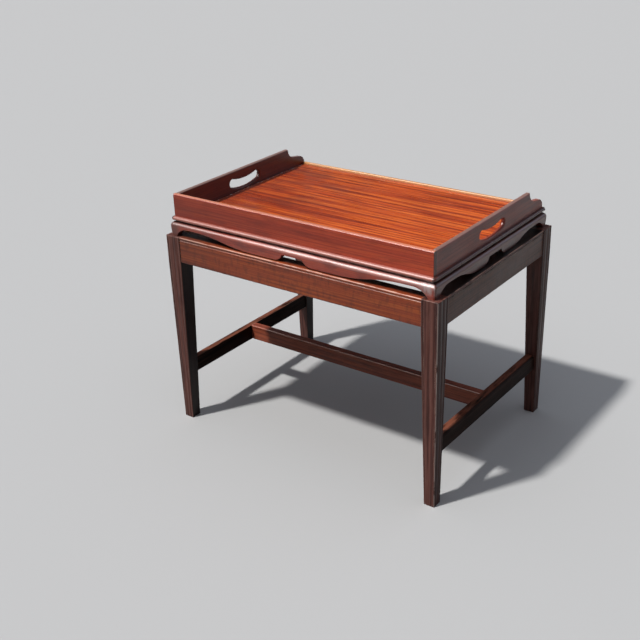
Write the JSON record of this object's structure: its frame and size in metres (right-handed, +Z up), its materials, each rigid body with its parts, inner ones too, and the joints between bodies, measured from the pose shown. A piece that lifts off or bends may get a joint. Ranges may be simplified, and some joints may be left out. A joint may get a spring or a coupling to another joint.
{
  "type": "butlers tray table",
  "caption": "Mahogany tray with a gallery open at the back, hand holes and a shaped apron on bracket feet, resting loose on a stand with tapering reeded legs and an H stretcher.",
  "frame": {"origin": "on the ground under the middle of the stand", "axes": "+X along the long front, to the right of someone who faces the front gallery board; +Y to the open back; +Z up"},
  "size_m": [0.686, 0.485, 0.548],
  "materials": {
    "stand_mahogany": "dark stained mahogany, satin lacquer, worn paler on the edges",
    "tray_mahogany": "red-brown mahogany, satin-gloss lacquer",
    "floor_mahogany": "ribbon-striped mahogany, satin-gloss lacquer, grain along the length",
    "plain_hardwood": "bare planed hardwood, unstained",
    "screw_steel": "dull steel"
  },
  "bodies": {
    "stand": {"leg_front_left": "stand_mahogany", "leg_front_right": "stand_mahogany", "leg_back_left": "stand_mahogany", "leg_back_right": "stand_mahogany", "rail_front": "stand_mahogany", "rail_back": "stand_mahogany", "rail_left": "stand_mahogany", "rail_right": "stand_mahogany", "stretcher_left": "stand_mahogany", "stretcher_right": "stand_mahogany", "stretcher_center": "stand_mahogany"},
    "tray": {"tray_floor": "floor_mahogany", "gallery_front": "tray_mahogany", "gallery_left": "tray_mahogany", "gallery_right": "tray_mahogany", "back_lip": "tray_mahogany", "waist_front": "tray_mahogany", "waist_back": "tray_mahogany", "waist_left": "tray_mahogany", "waist_right": "tray_mahogany", "apron_front": "tray_mahogany", "apron_back": "tray_mahogany", "apron_left": "tray_mahogany", "apron_right": "tray_mahogany", "foot_block_front_left": "plain_hardwood", "foot_block_front_right": "plain_hardwood", "foot_block_back_left": "plain_hardwood", "foot_block_back_right": "plain_hardwood", "batten_left": "plain_hardwood", "batten_right": "plain_hardwood", "batten_screws": "screw_steel", "gallery_dowels": "plain_hardwood"}
  },
  "joints": [
    {"name": "tray_lift", "type": "slide", "parent": "stand", "child": "tray", "axis": [0, 0, 1], "range_m": [0, 0.12]}
  ]
}
